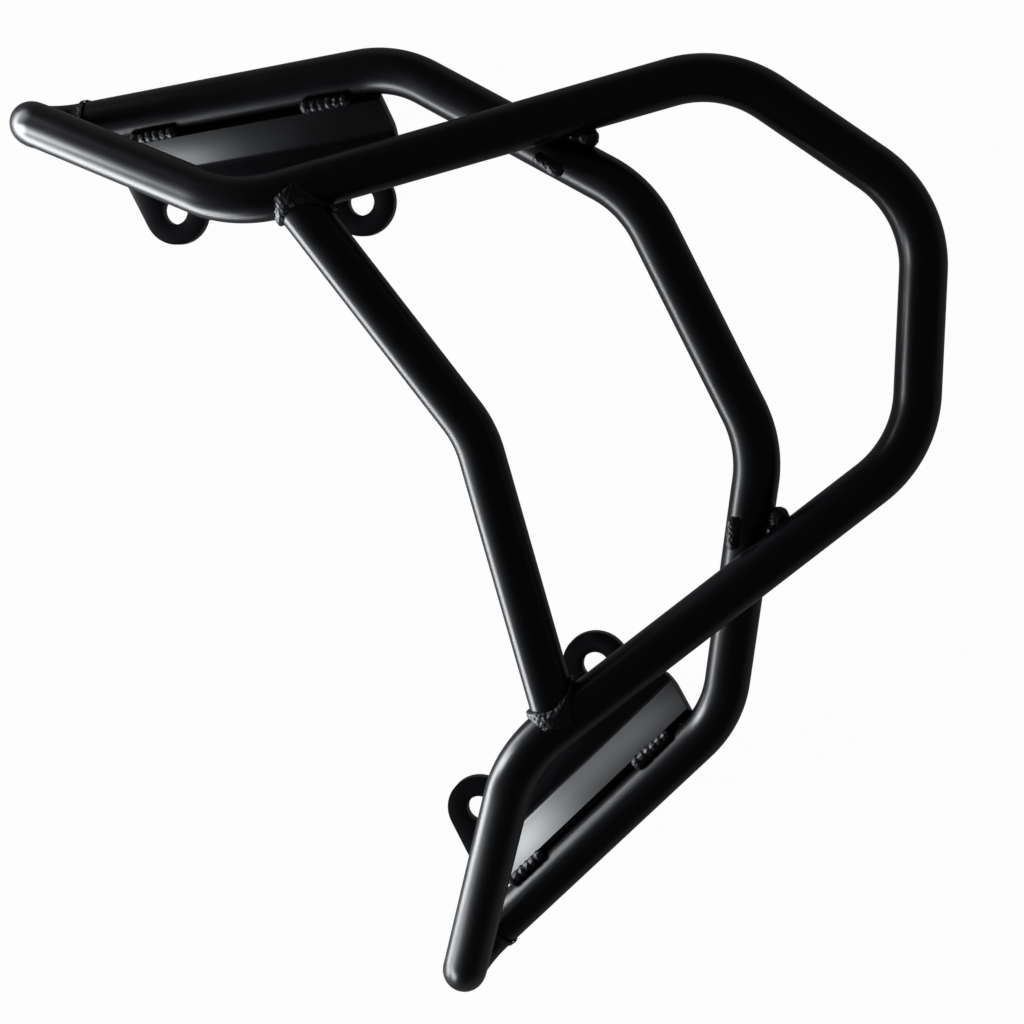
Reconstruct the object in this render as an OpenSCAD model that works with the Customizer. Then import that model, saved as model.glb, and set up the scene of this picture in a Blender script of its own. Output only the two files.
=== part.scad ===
// Motorcycle luggage rack, welded from round steel tube.
// Frame: z = 0 is the underside of the two mounting brackets and y = 0 the line of
// their front holes. +X is the rider's left, +Y the rear, +Z up along the bolts.
// The rack is the same on both sides of the plane x = 0. Units are millimetres.
// The tubes are set out level with the carrying hoop, then pitched onto the brackets.

/* [Tube] */
// Outside diameter of every tube
tube_d = 16; // [15:0.5:17]
// Wall thickness of every tube
tube_wall = 1.5; // [1:0.25:2]
// Centre-line radius of the ordinary bends
bend_r = 40; // [36:1:44]
// Centre-line radius of the tight return bend at each front tip
tip_bend_r = 12; // [11:0.5:12]

/* [Hoop] */
// Rearmost point of the hoop, where its two rear bars would meet
hoop_rear_y = 206.5; // [200:0.5:212]
// Half the spacing of the two rear corners
rear_corner_x = 71.5; // [68:0.5:76]
// Distance of the rear corners behind the front corners
rear_corner_y = 167; // [160:1:174]
// Half the spacing of the two front corners
front_corner_x = 104.5; // [100:0.5:108]

/* [Front tips] */
// Half the spacing of the two tips
tip_x = 173; // [168:1:176]
// Distance of the tips ahead of the front corners
tip_y = 57; // [53:1:60]
// Drop of the upper tube at the tip
tip_top_z = -38; // [-42:1:-36]
// Drop of the lower tube at the tip
tip_low_z = -62; // [-66:1:-60]
// Distance from the lower tip corner to the butt weld
tip_joint = 18; // [17:0.5:22]

/* [Lower tube] */
// Half the length of the rear cross bar, corner to corner
bar_corner_x = 47; // [44:0.5:50]
// Distance of the rear cross bar behind the front corners
bar_y = 122; // [120:1:126]
// Half the spacing of the side corners
side_corner_x = 129; // [126:0.5:133]
// Distance of the side corners behind the front corners
side_corner_y = 69.5; // [66:0.5:72]
// Drop of the tube from the rear cross bar to the side corners
side_drop = 28; // [26:1:30]

/* [Cross tube] */
// Distance of its middle behind the front corners
cross_mid_y = 37.5; // [34:0.5:42]
// Distance of its ends behind the front corners
cross_end_y = 18; // [16:0.5:20]

/* [Brackets] */
// Thickness of the bracket plate
plate = 4; // [3:0.5:5]
// Diameter of the mounting holes
hole_d = 10; // [8.5:0.5:10.5]
// Radius of the plate round each hole
lobe_r = 12.5; // [11:0.5:13]
// Half the spacing of the front pair of holes
front_hole_x = 126; // [124:0.5:128]
// Half the spacing of the rear pair of holes
rear_hole_x = 95; // [93:0.5:97]
// Distance from the front pair to the rear pair
hole_pitch = 66; // [63:0.5:68]
// Distance of the front holes ahead of the front corners
front_hole_y = 28; // [26:0.5:30]
// Angle of the upright flange to the plate
flange_angle = 50; // [46:1:54]
// Width of the flange from its free edge to the fold
flange_w = 16.3; // [15:0.1:18]
// Inside radius of the fold
fold_r = 3; // [2:0.5:4]
// Distance of the inner edge of the plate from the centre line of the tube
strip_edge = 41; // [38:0.5:44]
// Rear end of the flange, measured along the tube
flange_rear = 68.5; // [64:0.5:70]
// Front end of the flange, measured along the tube
flange_front = -23; // [-28:0.5:-18]

/* [Weld beads] */
// Radius of a bead
bead_r = 2.6; // [2:0.1:3]
// Spacing of the ripples along a bead
ripple = 2.4; // [2:0.1:3]

/* [Hidden] */
$fn = 96;
tube_r = tube_d / 2;
bore_r = tube_r - tube_wall;
// Gap between the runs of a tube under each ring, and height of the ring
slit = 0.25;
mark = 0.1;
paint = [0.05, 0.05, 0.06];
weld = [0.16, 0.16, 0.17];

// Height of the rear cross bar at which the lower tube just touches the hoop
long_bar = [front_corner_x - rear_corner_x, -rear_corner_y, 0];
side_bar = [side_corner_x - bar_corner_x, side_corner_y - bar_y, -side_drop];
skew = cross(long_bar, side_bar);
rear_corner = [rear_corner_x, rear_corner_y, 0];
bar_z = -((tube_d + 0.03) * norm(skew)
          + skew.x * (bar_corner_x - rear_corner_x)
          + skew.y * (bar_y - rear_corner_y)) / skew.z;

bar_corner = [bar_corner_x, bar_y, bar_z];

// The V of the hoop and of the cross tube start in the middle of their bend
hoop_half = atan((hoop_rear_y - rear_corner_y) / rear_corner_x);
cross_end_x = rear_corner_x
              + (front_corner_x - rear_corner_x) * (1 - cross_end_y / rear_corner_y);
cross_half = atan((cross_mid_y - cross_end_y) / cross_end_x);
hoop_mid_y = hoop_rear_y - bend_r * (1 / cos(hoop_half) - 1);
cross_mid_arc_y = cross_mid_y - bend_r * (1 / cos(cross_half) - 1);

// Corner points of the left half of each tube, from the middle outward
tip_top = [tip_x, -tip_y, tip_top_z];
tip_low = [tip_x, -tip_y, tip_low_z];
side_corner = [side_corner_x, side_corner_y, bar_z - side_drop];
joint = tip_low + tip_joint * unit(side_corner - tip_low);
HOOP = [[0, hoop_mid_y, 0],
        [bend_r * tan(hoop_half / 2), hoop_mid_y, 0],
        [rear_corner_x, rear_corner_y, 0],
        [front_corner_x, 0, 0],
        tip_top,
        tip_low,
        joint];
HOOP_R = [0, bend_r, bend_r, bend_r, tip_bend_r, tip_bend_r, 0];
LOWER = [[0, bar_y, bar_z],
         [bar_corner_x, bar_y, bar_z],
         side_corner,
         joint];
LOWER_R = [0, bend_r, bend_r, 0];
CROSS = [[0, cross_mid_arc_y, 0],
         [bend_r * tan(cross_half / 2), cross_mid_arc_y, 0],
         [cross_end_x, cross_end_y, 0]];
CROSS_R = [0, bend_r, 0];

// Where the lower tube touches the underside of the hoop
on_hoop = rear_corner + long_bar * (cross(bar_corner - rear_corner, side_bar) * skew)
                                 / (skew * skew);
touch = on_hoop - tube_r * unit(skew);
to_rear = unit(unit(-long_bar) + unit(-side_bar));
to_inner = unit(unit(long_bar) + unit(-side_bar));

// Bracket frame: x outward from the front tube, y along it to the rear, z up
leg = side_corner - tip_low;
pitch = atan(leg.z / leg.y);
yaw = atan(-leg.x / norm([leg.y, leg.z]));
leg_origin = tip_low + leg * tip_y / leg.y;
flange_top = [-10.7, 2.6];
fold_v = flange_top.y - flange_w * sin(flange_angle);
fold_u = flange_top.x - flange_w * cos(flange_angle);
fold_centre = [fold_u - fold_r * tan(flange_angle / 2), fold_v + fold_r];
fold_steps = 20;
leg_z = plate - fold_v;
leg_y = (front_hole_y - fold_v * sin(pitch)) / cos(pitch);
front_hole = on_plate(front_hole_x, 0);
rear_hole = on_plate(rear_hole_x, hole_pitch);

function unit(v) = v / norm(v);
function dir(p, i) = unit(p[i + 1] - p[i]);
function turn(p, i) = acos(dir(p, i - 1) * dir(p, i));
function side(p, i) = unit(cross(dir(p, i - 1), dir(p, i)));
function used(p, r, i) = r[i] == 0 ? 0 : r[i] * tan(turn(p, i) / 2);
function straight(p, r, i) = norm(p[i + 1] - p[i]) - used(p, r, i) - used(p, r, i + 1);
function roll(p, i) = i == 1
    ? atan2(dir(p, 0) * cross([0, 0, -1], side(p, 1)), [0, 0, -1] * side(p, 1))
    : atan2(dir(p, i - 1) * cross(side(p, i - 1), side(p, i)), side(p, i - 1) * side(p, i));

// Place of a point of the plate in the bracket frame
function on_plate(x, y) =
    let (across = x - leg_origin.x, along = y - leg_y)
    [across * cos(yaw) + along * sin(yaw), along * cos(yaw) - across * sin(yaw)];

// Pitches what is set out level with the hoop onto the brackets
module pitched() {
  translate([0, leg_y, leg_z]) rotate([-pitch, 0, 0])
    translate([0, 0, -leg_origin.z]) children();
}

module in_bracket_frame() {
  translate([leg_origin.x, leg_y, leg_z]) rotate([0, 0, yaw]) children();
}

// Ring over the line where a straight meets a bend, proud by a bend mark
module collar(radius) {
  translate([0, 0, -2 * slit]) cylinder(r = radius + mark, h = 4 * slit);
}

// One straight and the bend after it, then the rest of the path
module run(p, r, radius, i = 0) {
  length = straight(p, r, i);
  last = i + 2 == len(p);
  if (length > 0.01)
    translate([0, 0, slit]) cylinder(r = radius, h = length - (last ? 1 : 2) * slit);
  if (!last) {
    a = turn(p, i + 1);
    R = r[i + 1];
    skip = slit / R * 180 / PI;
    translate([0, 0, length > 0.01 ? length : 0]) rotate([0, 0, roll(p, i + 1)]) {
      if (length > 0.01) collar(radius);
      translate([R, 0, 0])
        rotate([90, 0, 180]) rotate([0, 0, skip])
          rotate_extrude(angle = a - 2 * skip) translate([R, 0]) circle(r = radius);
      translate([R, 0, 0]) rotate([0, a, 0]) translate([-R, 0, 0]) {
        if (straight(p, r, i + 1) > 0.01) collar(radius);
        run(p, r, radius, i + 1);
      }
    }
  }
}

// Left half of a tube, which starts on the plane x = 0 and sets off to the left
module half_tube(p, r, radius) {
  translate(p[0])
    multmatrix([[0, 0, 1, 0], [-1, 0, 0, 0], [0, -1, 0, 0], [0, 0, 0, 1]])
      run(p, r, radius);
}

module solid_tube(p, r, radius) {
  half_tube(p, r, radius);
  mirror([1, 0, 0]) half_tube(p, r, radius);
  translate(p[0]) rotate([0, 90, 0]) collar(radius);
}

module hollow_tube(p, r) {
  difference() {
    solid_tube(p, r, tube_r);
    solid_tube(p, r, bore_r);
  }
}

module hoop_tube() {
  color(paint) pitched() hollow_tube(HOOP, HOOP_R);
}

module lower_tube() {
  color(paint) pitched() hollow_tube(LOWER, LOWER_R);
}

// Round bar along the axis of the left long bar of the hoop
module along_long_bar(radius) {
  translate(rear_corner) rotate([90, 0, atan(-long_bar.x / long_bar.y)])
    cylinder(r = radius, h = norm(long_bar));
}

// The ends are coped to sit against the long bars of the hoop
module cross_tube() {
  color(paint) pitched() difference() {
    hollow_tube(CROSS, CROSS_R);
    along_long_bar(tube_r + mark);
    mirror([1, 0, 0]) along_long_bar(tube_r + mark);
  }
}

// Section of the folded plate, drawn across the front tube
function fold_arc(r, from, to) =
    [for (i = [0:fold_steps])
       let (a = from + (to - from) * i / fold_steps)
       [fold_centre.x + r * cos(a), fold_centre.y + r * sin(a)]];

module folded_section() {
  polygon(concat(
    [[fold_u - 60, fold_v]],
    fold_arc(fold_r, -90, flange_angle - 90),
    [flange_top, flange_top + plate * [sin(flange_angle), -cos(flange_angle)]],
    fold_arc(fold_r + plate, flange_angle - 90, -90),
    [[fold_u - 60, fold_v - plate]]));
}

// Outline of the bracket seen square to the plate
module plate_outline() {
  lateral = [cos(yaw), -sin(yaw)];
  rearward = [sin(yaw), cos(yaw)];
  front_edge = front_hole - lobe_r * rearward;
  translate(front_hole) circle(r = lobe_r);
  translate(rear_hole) circle(r = lobe_r);
  polygon([front_edge,
           front_edge + 18 * lateral,
           [-6, flange_front],
           [-6, flange_rear],
           [fold_u - 2, flange_rear],
           rear_hole + lobe_r * rearward,
           rear_hole - lobe_r * [cos(25), sin(25)],
           [-strip_edge, 24],
           [-strip_edge, front_hole.y]]);
}

module bracket() {
  difference() {
    intersection() {
      in_bracket_frame()
        translate([0, 90, 0]) rotate([90, 0, 0]) linear_extrude(height = 160) folded_section();
      in_bracket_frame()
        translate([0, 0, -30]) linear_extrude(height = 60) plate_outline();
    }
    in_bracket_frame() {
      translate([front_hole.x, front_hole.y, -30]) cylinder(d = hole_d, h = 60);
      translate([rear_hole.x, rear_hole.y, -30]) cylinder(d = hole_d, h = 60);
    }
    pitched() half_tube(LOWER, LOWER_R, tube_r);
  }
}

module left_bracket() {
  color(paint) bracket();
}

module right_bracket() {
  color(paint) mirror([1, 0, 0]) bracket();
}

// A weld laid as a row of overlapping drops between two points
module drops(from, to, r_from, r_to) {
  count = max(2, ceil(norm(to - from) / ripple));
  for (i = [0:count - 1]) {
    part = i / (count - 1);
    translate(from + (to - from) * part)
      rotate([90, 0, 0]) sphere(r = r_from + (r_to - r_from) * part);
  }
}

// Ring of weld over the butt joint of the two tubes behind the tip
module tip_bead() {
  in_bracket_frame()
    translate([0, -norm(leg_origin - joint), 0]) rotate([90, 0, 0])
      difference() {
        rotate_extrude() translate([tube_r, 0]) circle(r = bead_r * 0.55);
        translate([0, 0, -5]) cylinder(r = tube_r, h = 10);
      }
}

// Weld round the coped end of the cross tube
module cross_bead() {
  pitched() difference() {
    intersection() {
      along_long_bar(tube_r + bead_r - 0.2);
      translate(CROSS[2]) rotate([0, -90, -cross_half])
        cylinder(r = tube_r + bead_r - 1, h = 40);
    }
    union() {
      along_long_bar(tube_r + 1.5 * mark);
      translate(CROSS[2]) rotate([0, -90, -cross_half])
        cylinder(r = tube_r, h = 80, center = true);
    }
  }
}

// Weld in the narrow angle behind the crossing
module crossing_bead_rear() {
  pitched() difference() {
    drops(touch + 12.5 * to_rear, touch + 17 * to_rear, bead_r, bead_r * 1.5);
    half_tube(HOOP, HOOP_R, tube_r);
    half_tube(LOWER, LOWER_R, tube_r);
  }
}

// Weld in the wide angle on the inner side of the crossing
module crossing_bead_inner() {
  pitched() difference() {
    drops(touch + 9 * to_inner - 2 * unit(side_bar), touch + 9.5 * to_inner - 9 * unit(side_bar),
          bead_r, bead_r * 1.1);
    half_tube(HOOP, HOOP_R, tube_r);
    half_tube(LOWER, LOWER_R, tube_r);
  }
}

// Weld between the free edge of the flange and the tube
module flange_bead(rear, front, r_rear, r_front) {
  in_bracket_frame() difference() {
    drops([-8.9, rear, 4], [-8.9, front, 4], r_rear, r_front);
    translate([0, 90, 0]) rotate([90, 0, 0]) cylinder(r = tube_r, h = 160);
    translate([0, 90, 0]) rotate([90, 0, 0]) linear_extrude(height = 160) folded_section();
  }
}

module bracket_bead_rear() {
  flange_bead(56, 42, bead_r * 0.85, bead_r * 1.05);
}

module bracket_bead_front() {
  flange_bead(-11, -25, bead_r * 0.9, bead_r * 0.9);
}

module left_tip_bead() {
  color(weld) tip_bead();
}

module right_tip_bead() {
  color(weld) mirror([1, 0, 0]) tip_bead();
}

module left_cross_bead() {
  color(weld) cross_bead();
}

module right_cross_bead() {
  color(weld) mirror([1, 0, 0]) cross_bead();
}

module left_crossing_bead_rear() {
  color(weld) crossing_bead_rear();
}

module right_crossing_bead_rear() {
  color(weld) mirror([1, 0, 0]) crossing_bead_rear();
}

module left_crossing_bead_inner() {
  color(weld) crossing_bead_inner();
}

module right_crossing_bead_inner() {
  color(weld) mirror([1, 0, 0]) crossing_bead_inner();
}

module left_bracket_bead_front() {
  color(weld) bracket_bead_front();
}

module right_bracket_bead_front() {
  color(weld) mirror([1, 0, 0]) bracket_bead_front();
}

module left_bracket_bead_rear() {
  color(weld) bracket_bead_rear();
}

module right_bracket_bead_rear() {
  color(weld) mirror([1, 0, 0]) bracket_bead_rear();
}

hoop_tube();
lower_tube();
cross_tube();
left_bracket();
right_bracket();
left_tip_bead();
right_tip_bead();
left_cross_bead();
right_cross_bead();
left_crossing_bead_rear();
right_crossing_bead_rear();
left_crossing_bead_inner();
right_crossing_bead_inner();
left_bracket_bead_front();
right_bracket_bead_front();
left_bracket_bead_rear();
right_bracket_bead_rear();
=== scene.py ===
"""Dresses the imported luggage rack: smooth tubes, eased brackets, grainy welds and paint."""

import math

import bmesh
import bpy
from mathutils import Euler, Matrix, Vector, noise


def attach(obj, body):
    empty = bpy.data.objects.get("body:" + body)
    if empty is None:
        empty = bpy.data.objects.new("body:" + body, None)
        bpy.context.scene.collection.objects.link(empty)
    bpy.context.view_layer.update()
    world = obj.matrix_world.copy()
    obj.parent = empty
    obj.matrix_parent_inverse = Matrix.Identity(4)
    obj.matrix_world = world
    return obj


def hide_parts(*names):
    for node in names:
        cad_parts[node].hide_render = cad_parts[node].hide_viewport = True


bl_info = {
    "name": "Luggage Rack",
    "version": (1, 0, 0),
    "blender": (4, 5, 0),
    "location": "View3D > Sidebar > Rack",
    "description": "Builds the visible pieces of a welded tube luggage rack",
    "category": "Add Mesh",
}

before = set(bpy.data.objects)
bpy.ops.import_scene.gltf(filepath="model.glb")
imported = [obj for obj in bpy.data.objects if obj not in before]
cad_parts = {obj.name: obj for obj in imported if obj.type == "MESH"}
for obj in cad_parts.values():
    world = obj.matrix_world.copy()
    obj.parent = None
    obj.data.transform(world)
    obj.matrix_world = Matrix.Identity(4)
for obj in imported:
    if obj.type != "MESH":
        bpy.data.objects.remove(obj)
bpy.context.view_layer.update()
MM = 0.001
BODY = "root"
SIDES = ("left", "right")

# Where the lower front legs pass the front corners of the hoop, in the part's frame
LEG_Y = 31.095 * MM
LEG_Z = 13.8865 * MM

# Space left where a side bar passes under the hoop
TOUCHING_GAP = 0.03 * MM

# Lengths too short to count: between merged points, and of a straight run
SAME_POINT = 0.002 * MM
NO_MOVE = 1e-7

# Angles past which an edge is shown sharp, and under which two faces are one
TUBE_SHARP = math.radians(40)
PLATE_SHARP = math.radians(30)
FLAT = math.radians(0.5)

# Paint: size of its clouds, how much paler their dust is, depth of the orange peel, and gloss
CLOUD_SCALE = 60
DUST = 1.6
PEEL_DEPTH = 0.1 * MM
PAINT_IOR = 1.5

# Weld: height of the noise under which the grain is cut in
GRAIN_LEVEL = 0.6

# Floor: half its width in metres, and the share of plain white in what the camera sees
FLOOR_HALF = 6
FLOOR_GLOW = 0.975

# Soft panels that the paint mirrors: name, middle, turn in degrees, width and height, brightness
PANELS = (
    ("low front", (-0.25, -0.205, 0.0005), (180, 0, 0), (0.9, 0.13), 13),
    ("low far", (-0.3, -0.47, 0.0005), (180, 0, 0), (0.8, 0.4), 15),
    ("front left", (-0.46, -0.75, 0.22), (90, 0, 0), (0.32, 0.4), 22),
    ("front middle", (-0.07, -0.75, 0.05), (90, 0, 0), (0.45, 0.1), 14),
    ("front right", (0.38, -0.75, 0.11), (90, 0, 0), (0.4, 0.2), 13),
    ("side", (-0.85, -0.5, 0.17), (90, 0, -90), (0.5, 0.32), 3.5),
)


# Settings


class RackTubeSettings(bpy.types.PropertyGroup):
    """Sizes of the bent tubes, set out level with the hoop"""

    tube_radius: bpy.props.FloatProperty(
        name="Tube radius", description="Outside radius of every tube",
        default=8 * MM, min=5 * MM, max=15 * MM, unit="LENGTH", precision=4)
    bend_radius: bpy.props.FloatProperty(
        name="Bend radius", description="Centre-line radius of the ordinary bends",
        default=40 * MM, min=24 * MM, max=60 * MM, unit="LENGTH", precision=4)
    tip_bend_radius: bpy.props.FloatProperty(
        name="Tip bend radius", description="Centre-line radius of the tight bends at the tips",
        default=12 * MM, min=9 * MM, max=16 * MM, unit="LENGTH", precision=4)
    hoop_rear: bpy.props.FloatProperty(
        name="Hoop rear", description="Rearmost corner of the hoop behind its front corners",
        default=206.5 * MM, unit="LENGTH", precision=4)
    rear_corner: bpy.props.FloatVectorProperty(
        name="Rear corner", description="Left rear corner of the hoop",
        default=(71.5 * MM, 167 * MM), size=2, unit="LENGTH", precision=4)
    front_corner: bpy.props.FloatProperty(
        name="Front corner", description="Half the spacing of the front corners of the hoop",
        default=104.5 * MM, unit="LENGTH", precision=4)
    tip: bpy.props.FloatVectorProperty(
        name="Tip", description="Left tip: half spacing, distance ahead, upper and lower drop",
        default=(173 * MM, 57 * MM, 38 * MM, 62 * MM), size=4, unit="LENGTH", precision=4)
    tip_joint: bpy.props.FloatProperty(
        name="Tip joint", description="Distance of the butt weld behind the lower tip corner",
        default=18 * MM, unit="LENGTH", precision=4)
    bar_corner: bpy.props.FloatVectorProperty(
        name="Bar corner", description="Left corner of the rear cross bar",
        default=(47 * MM, 122 * MM), size=2, unit="LENGTH", precision=4)
    side_corner: bpy.props.FloatVectorProperty(
        name="Side corner", description="Left side corner of the lower tube",
        default=(129 * MM, 69.5 * MM), size=2, unit="LENGTH", precision=4)
    side_drop: bpy.props.FloatProperty(
        name="Side drop", description="Drop from the rear cross bar to the side corners",
        default=28 * MM, unit="LENGTH", precision=4)
    cross_middle: bpy.props.FloatProperty(
        name="Cross tube middle", description="Middle of the cross tube behind the corners",
        default=37.5 * MM, unit="LENGTH", precision=4)
    cross_end: bpy.props.FloatProperty(
        name="Cross tube end", description="Ends of the cross tube behind the front corners",
        default=18 * MM, unit="LENGTH", precision=4)
    around: bpy.props.IntProperty(
        name="Sides", description="Number of faces round a tube", default=64, min=16, max=128)
    bend_steps: bpy.props.IntProperty(
        name="Bend steps", description="Number of faces along a bend", default=28, min=8, max=64)


class RackBracketSettings(bpy.types.PropertyGroup):
    """The folded plates"""

    edge: bpy.props.FloatProperty(
        name="Edge", description="Width of the eased edges of the plate",
        default=0.45 * MM, min=0.1 * MM, max=1 * MM, unit="LENGTH", precision=5)


class RackWeldSettings(bpy.types.PropertyGroup):
    """The weld beads"""

    grain: bpy.props.FloatProperty(
        name="Grain", description="Depth of the grain on a bead",
        default=0.28 * MM, min=0, max=1 * MM, unit="LENGTH", precision=5)
    grain_size: bpy.props.FloatProperty(
        name="Grain size", description="Size of the grain on a bead",
        default=1.1 * MM, unit="LENGTH", precision=5)
    tip_sink: bpy.props.FloatProperty(
        name="Tip sink", description="How far the rings at the tips are dressed down",
        default=0.5 * MM, min=0, max=1 * MM, unit="LENGTH", precision=5)
    dressing: bpy.props.IntProperty(
        name="Dressing", description="Rounds of smoothing on the welds where the tubes cross",
        default=24, min=1, max=60)
    cell: bpy.props.FloatProperty(
        name="Cell", description="Size of the faces on a bead",
        default=0.3 * MM, min=0.15 * MM, unit="LENGTH", precision=5)


class RackPaintSettings(bpy.types.PropertyGroup):
    """The paint"""

    colour: bpy.props.FloatVectorProperty(
        name="Colour", description="Colour of the paint",
        default=(0.002, 0.002, 0.0035), size=3, subtype="COLOR", min=0, max=1)
    roughness: bpy.props.FloatProperty(
        name="Roughness", description="Roughness of the paint", default=0.3, min=0, max=1)
    # The paint on the welds is paler than the tube paint: a painted sheen for the light caught by
    # their grain
    sheen_painted_weld_colour: bpy.props.FloatVectorProperty(
        name="Weld colour", description="Colour of the paint on the welds",
        default=(0.014, 0.014, 0.018), size=3, subtype="COLOR", min=0, max=1)


class RackStageSettings(bpy.types.PropertyGroup):
    """Floor, lights and camera"""

    floor_colour: bpy.props.FloatVectorProperty(
        name="Floor colour", description="Colour of the floor",
        default=(0.9, 0.9, 0.9), size=3, subtype="COLOR", min=0, max=1)
    floor_reflected: bpy.props.FloatVectorProperty(
        name="Floor in reflections", description="Colour of the floor as the paint mirrors it",
        default=(0.12, 0.12, 0.125), size=3, subtype="COLOR", min=0, max=1)
    light: bpy.props.FloatProperty(
        name="Light", description="Brightness of all the panels together", default=1, min=0)
    light_colour: bpy.props.FloatVectorProperty(
        name="Light colour", description="Colour of the panels",
        default=(0.93, 0.97, 1.0), size=3, subtype="COLOR", min=0, max=1)
    world_strength: bpy.props.FloatProperty(
        name="Surroundings", description="Brightness of the surroundings", default=0.04, min=0)
    camera_place: bpy.props.FloatVectorProperty(
        name="Camera place", description="Place of the camera",
        default=(0.0109, 0.2431, 0.6391), size=3, unit="LENGTH", precision=4)
    camera_turn: bpy.props.FloatVectorProperty(
        name="Camera turn", description="Turn of the camera about X, Y and Z",
        default=tuple(math.radians(a) for a in (-8.770, 13.243, 62.383)),
        size=3, subtype="EULER")
    lens: bpy.props.FloatProperty(
        name="Lens", description="Focal length on a 36 mm frame", default=63.28, unit="CAMERA")


# Setting out


def mirrored(points):
    """The same corners on the right, from the outside in."""
    return [Vector((-p.x, p.y, p.z)) for p in reversed(points)]


def set_out(tubes):
    """Corners and bend radii of the three tubes, in the part's frame."""
    rear = Vector((*tubes.rear_corner, 0))
    front = Vector((tubes.front_corner, 0, 0))
    bar = Vector((*tubes.bar_corner, 0))
    side = Vector((*tubes.side_corner, -tubes.side_drop))
    long_bar = front - rear
    skew = long_bar.cross(side - bar)
    gap = 2 * tubes.tube_radius + TOUCHING_GAP
    bar.z = -(gap * skew.length + skew.x * (bar.x - rear.x) + skew.y * (bar.y - rear.y)) / skew.z
    side.z += bar.z
    tip_x, ahead, upper, lower = tubes.tip
    tip_top = Vector((tip_x, -ahead, -upper))
    tip_low = Vector((tip_x, -ahead, -lower))
    joint = tip_low + tubes.tip_joint * (side - tip_low).normalized()
    cross_end = rear.lerp(front, 1 - tubes.cross_end / rear.y)
    bend, tight = tubes.bend_radius, tubes.tip_bend_radius

    left = [rear, front, tip_top, tip_low, joint]
    hoop = mirrored(left) + [Vector((0, tubes.hoop_rear, 0))] + left
    low_left = [bar, side, joint]
    lower_tube = mirrored(low_left) + low_left
    middle = Vector((0, tubes.cross_middle, 0))
    cross = [Vector((-cross_end.x, cross_end.y, 0)), middle, cross_end]

    pitched = pitch_onto_brackets(tip_low, side)
    return {
        "hoop_tube": ([pitched @ p for p in hoop],
                      [0, tight, tight, bend, bend, bend, bend, bend, tight, tight, 0]),
        "lower_tube": ([pitched @ p for p in lower_tube], [0, bend, bend, bend, bend, 0]),
        "cross_tube": ([pitched @ p for p in cross], [0, bend, 0]),
    }


def pitch_onto_brackets(tip_low, side):
    """Turns what is set out level with the hoop so that the brackets are level instead."""
    leg = side - tip_low
    pitch = math.atan2(leg.z, leg.y)
    turn = Matrix.Rotation(-pitch, 4, "X")
    on_leg = turn @ tip_low.lerp(side, -tip_low.y / leg.y)
    target = Vector((on_leg.x, LEG_Y, LEG_Z))
    return Matrix.Translation(target - on_leg) @ turn


# Meshes


def add_piece(name, bm, material, slot, *nodes):
    """Makes a finished piece of a bmesh, in place of the named nodes of the frame."""
    mesh = bpy.data.meshes.new(name)
    bm.to_mesh(mesh)
    bm.free()
    mesh.materials.append(material)
    piece = bpy.data.objects.new(name, mesh)
    bpy.context.scene.collection.objects.link(piece)
    for polygon in mesh.polygons:
        polygon.use_smooth = True
    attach(piece, BODY)
    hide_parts(*nodes)
    return piece


def swept_tube(corners, radii, tubes):
    """A closed round tube along straight runs and true bends."""
    bm = bmesh.new()
    travel = (corners[1] - corners[0]).normalized()
    place = Matrix.Translation(corners[0]) @ travel.to_track_quat("Z", "Y").to_matrix().to_4x4()
    bmesh.ops.create_circle(bm, segments=tubes.around, radius=tubes.tube_radius,
                            cap_ends=True, matrix=place)
    ring = [e for e in bm.edges if e.is_boundary]
    at = corners[0].copy()
    for before, corner, after, radius in zip(corners, corners[1:], corners[2:], radii[1:]):
        travel = (corner - before).normalized()
        leave = (after - corner).normalized()
        turn = travel.angle(leave)
        back = radius * math.tan(turn / 2)
        ring = run_straight(bm, ring, corner - back * travel - at)
        axis = travel.cross(leave).normalized()
        centre = corner - back * travel + radius * axis.cross(travel)
        spun = bmesh.ops.spin(bm, geom=ring, cent=centre, axis=axis, angle=turn,
                              steps=tubes.bend_steps, use_merge=False, use_duplicate=False)
        ring = [g for g in spun["geom_last"] if isinstance(g, bmesh.types.BMEdge)]
        at = corner + back * leave
    ring = run_straight(bm, ring, corners[-1] - at)
    bmesh.ops.contextual_create(bm, geom=ring)
    bmesh.ops.recalc_face_normals(bm, faces=bm.faces)
    return bm


def run_straight(bm, ring, move):
    """Carries the open end of a tube along, and returns its new edges."""
    if move.length < NO_MOVE:
        return ring
    out = bmesh.ops.extrude_edge_only(bm, edges=ring)["geom"]
    bmesh.ops.translate(bm, vec=move, verts=[g for g in out if isinstance(g, bmesh.types.BMVert)])
    return [g for g in out if isinstance(g, bmesh.types.BMEdge) and g.is_boundary]


def merged_copy(node):
    """A bmesh of a node of the frame, with its loose triangles joined."""
    bm = bmesh.new()
    bm.from_mesh(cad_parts[node].data)
    bmesh.ops.remove_doubles(bm, verts=bm.verts, dist=SAME_POINT)
    return bm


def apply_modifiers(piece):
    """Bakes a piece's modifiers into its mesh."""
    graph = bpy.context.evaluated_depsgraph_get()
    done = bpy.data.meshes.new_from_object(piece.evaluated_get(graph))
    piece.modifiers.clear()
    old, piece.data = piece.data, done
    bpy.data.meshes.remove(old)


# Materials


def new_material(name):
    """A material with an empty node tree."""
    material = bpy.data.materials.new(name)
    material.use_nodes = True
    nodes = material.node_tree.nodes
    nodes.clear()
    return material, nodes, material.node_tree.links


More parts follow.
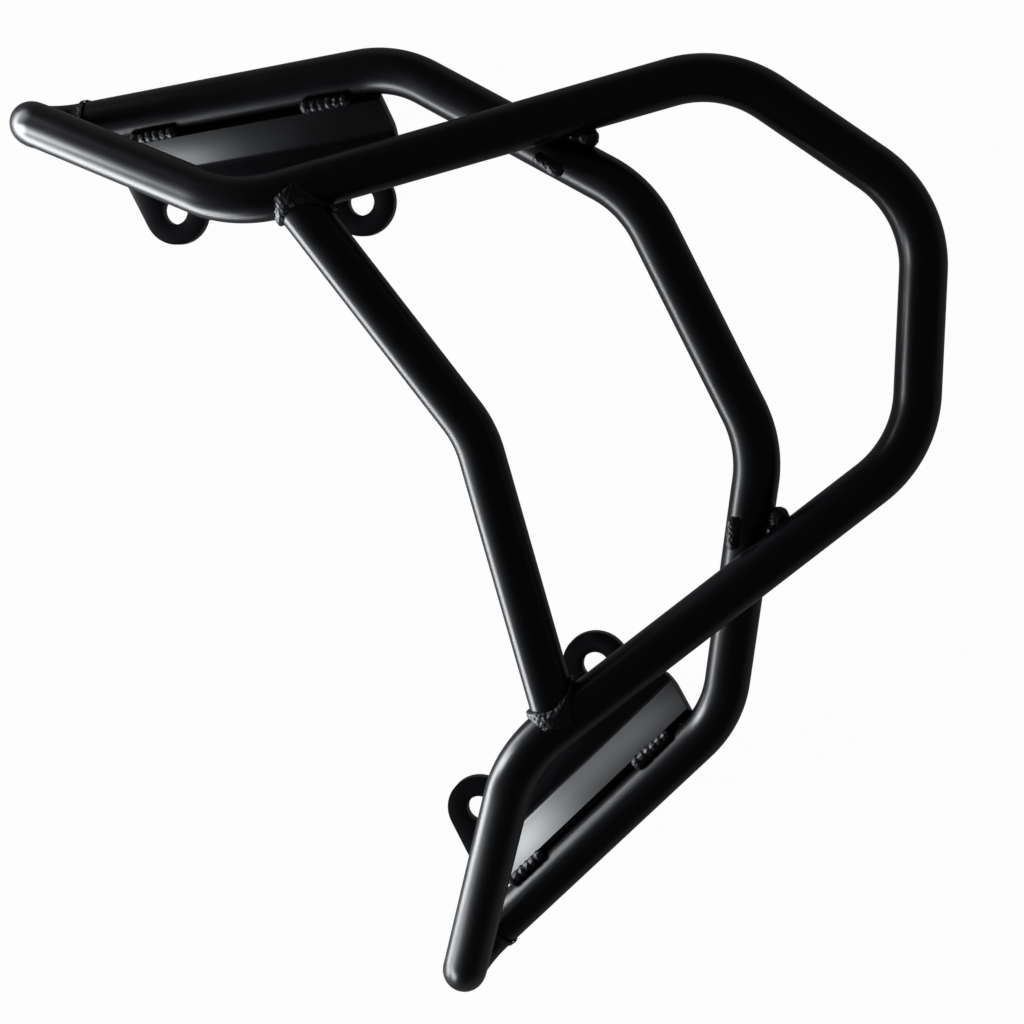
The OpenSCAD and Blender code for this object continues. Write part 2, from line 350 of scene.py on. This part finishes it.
def paint_material(name, colour, roughness, spread, peel_strength, peel_scale):
    """Black gloss paint: uneven sheen, a slight orange peel and dust in the colour."""
    material, nodes, links = new_material(name)
    out = nodes.new("ShaderNodeOutputMaterial")
    shader = nodes.new("ShaderNodeBsdfPrincipled")
    place = nodes.new("ShaderNodeTexCoord")
    links.new(shader.outputs["BSDF"], out.inputs["Surface"])

    cloud = nodes.new("ShaderNodeTexNoise")
    cloud.inputs["Scale"].default_value = CLOUD_SCALE
    cloud.inputs["Detail"].default_value = 4
    links.new(place.outputs["Object"], cloud.inputs["Vector"])
    sheen = nodes.new("ShaderNodeMapRange")
    sheen.inputs["To Min"].default_value = roughness - spread
    sheen.inputs["To Max"].default_value = roughness + spread
    links.new(cloud.outputs["Fac"], sheen.inputs["Value"])
    links.new(sheen.outputs["Result"], shader.inputs["Roughness"])

    tint = nodes.new("ShaderNodeMix")
    tint.data_type = "RGBA"
    tint.inputs["A"].default_value = (*colour, 1)
    tint.inputs["B"].default_value = (*(DUST * c for c in colour), 1)
    links.new(cloud.outputs["Fac"], tint.inputs["Factor"])
    links.new(tint.outputs["Result"], shader.inputs["Base Color"])

    peel = nodes.new("ShaderNodeTexNoise")
    peel.inputs["Scale"].default_value = peel_scale
    peel.inputs["Detail"].default_value = 2
    links.new(place.outputs["Object"], peel.inputs["Vector"])
    dents = nodes.new("ShaderNodeBump")
    dents.inputs["Strength"].default_value = peel_strength
    dents.inputs["Distance"].default_value = PEEL_DEPTH
    links.new(peel.outputs["Fac"], dents.inputs["Height"])
    links.new(dents.outputs["Normal"], shader.inputs["Normal"])
    shader.inputs["IOR"].default_value = PAINT_IOR
    return material


def floor_material(colour, mirrored):
    """Matt floor: nearly white with its shadow to the camera, darker as the paint mirrors it."""
    material, nodes, links = new_material("pale_floor")
    out = nodes.new("ShaderNodeOutputMaterial")
    path = nodes.new("ShaderNodeLightPath")
    pale = nodes.new("ShaderNodeBsdfDiffuse")
    pale.inputs["Color"].default_value = (*colour, 1)
    dim = nodes.new("ShaderNodeEmission")
    dim.inputs["Color"].default_value = (*mirrored, 1)
    glow = nodes.new("ShaderNodeEmission")
    glow.inputs["Color"].default_value = (1, 1, 1, 1)
    seen = nodes.new("ShaderNodeMixShader")
    seen.inputs["Fac"].default_value = FLOOR_GLOW
    links.new(pale.outputs["BSDF"], seen.inputs[1])
    links.new(glow.outputs["Emission"], seen.inputs[2])
    unseen = nodes.new("ShaderNodeMixShader")
    links.new(path.outputs["Is Glossy Ray"], unseen.inputs["Fac"])
    links.new(pale.outputs["BSDF"], unseen.inputs[1])
    links.new(dim.outputs["Emission"], unseen.inputs[2])
    mix = nodes.new("ShaderNodeMixShader")
    links.new(path.outputs["Is Camera Ray"], mix.inputs["Fac"])
    links.new(unseen.outputs["Shader"], mix.inputs[1])
    links.new(seen.outputs["Shader"], mix.inputs[2])
    links.new(mix.outputs["Shader"], out.inputs["Surface"])
    return material


def tube_paint(context):
    """The paint of the tubes and brackets, made at its first use."""
    paint = context.scene.rack_paint
    ready = bpy.data.materials.get("black_gloss_paint")
    return ready or paint_material("black_gloss_paint", paint.colour, paint.roughness,
                                   spread=0.05, peel_strength=0.12, peel_scale=900)


def sheen_painted_weld_material(context):
    """The paint over the weld beads, made paler than the tube paint as a painted sheen for the
    light their grain catches, made at its first use.
    """
    paint = context.scene.rack_paint
    ready = bpy.data.materials.get("weld_coat_with_painted_sheen")
    return ready or paint_material("weld_coat_with_painted_sheen", paint.sheen_painted_weld_colour, paint.roughness + 0.05,
                                   spread=0.1, peel_strength=0.8, peel_scale=1800)


# Operators


class RACK_OT_tubes(bpy.types.Operator):
    """Build the hoop, the lower tube and the cross tube"""

    bl_idname = "rack.tubes"
    bl_label = "Bent Tubes"

    def execute(self, context):
        tubes = context.scene.rack_tubes
        paint = tube_paint(context)
        made = {}
        for node, (corners, radii) in set_out(tubes).items():
            bm = swept_tube(corners, radii, tubes)
            made[node] = add_piece("bent_" + node, bm, paint, "paint", node)
        cope = made["cross_tube"].modifiers.new("cope", "BOOLEAN")
        cope.operation = "DIFFERENCE"
        cope.solver = "EXACT"
        cope.object = made["hoop_tube"]
        apply_modifiers(made["cross_tube"])
        for piece in made.values():
            piece.data.set_sharp_from_angle(angle=TUBE_SHARP)
        return {"FINISHED"}


class RACK_OT_brackets(bpy.types.Operator):
    """Ease the edges of the two folded brackets"""

    bl_idname = "rack.brackets"
    bl_label = "Folded Brackets"

    def execute(self, context):
        settings = context.scene.rack_brackets
        paint = tube_paint(context)
        for side in SIDES:
            node = side + "_bracket"
            bm = merged_copy(node)
            bmesh.ops.dissolve_limit(bm, angle_limit=FLAT, verts=bm.verts, edges=bm.edges,
                                     use_dissolve_boundaries=False)
            sharp = [e for e in bm.edges if e.is_manifold and e.calc_face_angle() > PLATE_SHARP]
            bmesh.ops.bevel(bm, geom=sharp, offset=settings.edge, offset_type="OFFSET",
                            segments=2, profile=0.5, affect="EDGES", material=-1,
                            clamp_overlap=True)
            bmesh.ops.triangulate(bm, faces=bm.faces)
            piece = add_piece("folded_" + node, bm, paint, "paint", node)
            piece.data.set_sharp_from_angle(angle=PLATE_SHARP)
        return {"FINISHED"}


class RACK_OT_welds(bpy.types.Operator):
    """Give the weld beads their drops and grain"""

    bl_idname = "rack.welds"
    bl_label = "Weld Beads"

    def execute(self, context):
        settings = context.scene.rack_welds
        paint = sheen_painted_weld_material(context)
        beads = [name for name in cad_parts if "bead" in name]
        if not beads:
            raise RuntimeError("the frame has no weld beads")
        for node in beads:
            piece = add_piece("grainy_" + node, merged_copy(node), paint, "weld", node)
            cells = piece.modifiers.new("cells", "REMESH")
            cells.mode = "VOXEL"
            cells.voxel_size = settings.cell
            cells.use_smooth_shade = True
            apply_modifiers(piece)
            bm = bmesh.new()
            bm.from_mesh(piece.data)
            for _ in range(settings.dressing if "crossing" in node else 1):
                bmesh.ops.smooth_vert(bm, verts=bm.verts, factor=0.5, use_axis_x=True,
                                      use_axis_y=True, use_axis_z=True)
            bm.normal_update()
            sink = settings.tip_sink if "tip" in node else 0
            for v in bm.verts:
                depth = noise.noise(v.co / settings.grain_size) - GRAIN_LEVEL
                v.co += v.normal * (settings.grain * min(depth, 0) - sink)
            bm.to_mesh(piece.data)
            bm.free()
        return {"FINISHED"}


class RACK_OT_stage(bpy.types.Operator):
    """Lay the floor, hang the lights and place the camera"""

    bl_idname = "rack.stage"
    bl_label = "Stage"

    def execute(self, context):
        stage = context.scene.rack_stage
        bm = bmesh.new()
        bmesh.ops.create_grid(bm, x_segments=1, y_segments=1, size=FLOOR_HALF)
        mesh = bpy.data.meshes.new("floor")
        bm.to_mesh(mesh)
        bm.free()
        mesh.materials.append(floor_material(stage.floor_colour, stage.floor_reflected))
        floor = bpy.data.objects.new("floor", mesh)
        context.scene.collection.objects.link(floor)
        for panel in PANELS:
            self.panel(context, stage, *panel)
        self.surroundings(context, stage)
        self.camera(context, stage)
        return {"FINISHED"}

    def panel(self, context, stage, name, place, turn, size, brightness):
        """Hang one soft panel"""
        data = bpy.data.lights.new(name, "AREA")
        data.shape = "RECTANGLE"
        data.size, data.size_y = size
        data.energy = math.pi * size[0] * size[1] * stage.light * brightness
        data.color = stage.light_colour
        lamp = bpy.data.objects.new(name, data)
        lamp.location = place
        lamp.rotation_euler = [math.radians(a) for a in turn]
        lamp.visible_camera = False
        context.scene.collection.objects.link(lamp)

    def surroundings(self, context, stage):
        """White to the camera and dim to the object"""
        world = bpy.data.worlds.new("studio")
        world.use_nodes = True
        nodes, links = world.node_tree.nodes, world.node_tree.links
        nodes.clear()
        out = nodes.new("ShaderNodeOutputWorld")
        path = nodes.new("ShaderNodeLightPath")
        dim = nodes.new("ShaderNodeBackground")
        dim.inputs["Color"].default_value = (1, 1, 1, 1)
        dim.inputs["Strength"].default_value = stage.world_strength
        white = nodes.new("ShaderNodeBackground")
        white.inputs["Color"].default_value = (1, 1, 1, 1)
        mix = nodes.new("ShaderNodeMixShader")
        links.new(path.outputs["Is Camera Ray"], mix.inputs["Fac"])
        links.new(dim.outputs["Background"], mix.inputs[1])
        links.new(white.outputs["Background"], mix.inputs[2])
        links.new(mix.outputs["Shader"], out.inputs["Surface"])
        context.scene.world = world

    def camera(self, context, stage):
        """Place the camera of the photograph's view"""
        data = bpy.data.cameras.new("camera")
        data.sensor_width = 36
        data.lens = stage.lens
        data.clip_start = 0.01
        camera = bpy.data.objects.new("camera", data)
        camera.location = stage.camera_place
        camera.rotation_euler = Euler(stage.camera_turn, "XYZ")
        context.scene.collection.objects.link(camera)
        context.scene.camera = camera


class RACK_PT_panel(bpy.types.Panel):
    """Buttons that build the rack"""

    bl_label = "Luggage Rack"
    bl_idname = "RACK_PT_panel"
    bl_space_type = "VIEW_3D"
    bl_region_type = "UI"
    bl_category = "Rack"

    def draw(self, context):
        for group, operator in BUTTONS:
            box = self.layout.box()
            if operator:
                box.operator(operator.bl_idname)
            settings = getattr(context.scene, group)
            for name in settings.bl_rna.properties.keys():
                if name not in ("rna_type", "name"):
                    box.prop(settings, name)


GROUPS = {
    "rack_tubes": RackTubeSettings,
    "rack_brackets": RackBracketSettings,
    "rack_welds": RackWeldSettings,
    "rack_paint": RackPaintSettings,
    "rack_stage": RackStageSettings,
}
BUTTONS = (
    ("rack_paint", None),
    ("rack_tubes", RACK_OT_tubes),
    ("rack_brackets", RACK_OT_brackets),
    ("rack_welds", RACK_OT_welds),
    ("rack_stage", RACK_OT_stage),
)
CLASSES = (*GROUPS.values(), *(operator for _, operator in BUTTONS if operator), RACK_PT_panel)


def register():
    for cls in CLASSES:
        bpy.utils.register_class(cls)
    for name, group in GROUPS.items():
        setattr(bpy.types.Scene, name, bpy.props.PointerProperty(type=group))


def unregister():
    for name in GROUPS:
        delattr(bpy.types.Scene, name)
    for cls in reversed(CLASSES):
        bpy.utils.unregister_class(cls)


def main():
    """Builds the rack and its stage."""
    register()
    bpy.context.scene.view_settings.view_transform = "Standard"
    bpy.ops.rack.tubes()
    bpy.ops.rack.brackets()
    bpy.ops.rack.welds()
    bpy.ops.rack.stage()


if __name__ == "__main__":
    main()
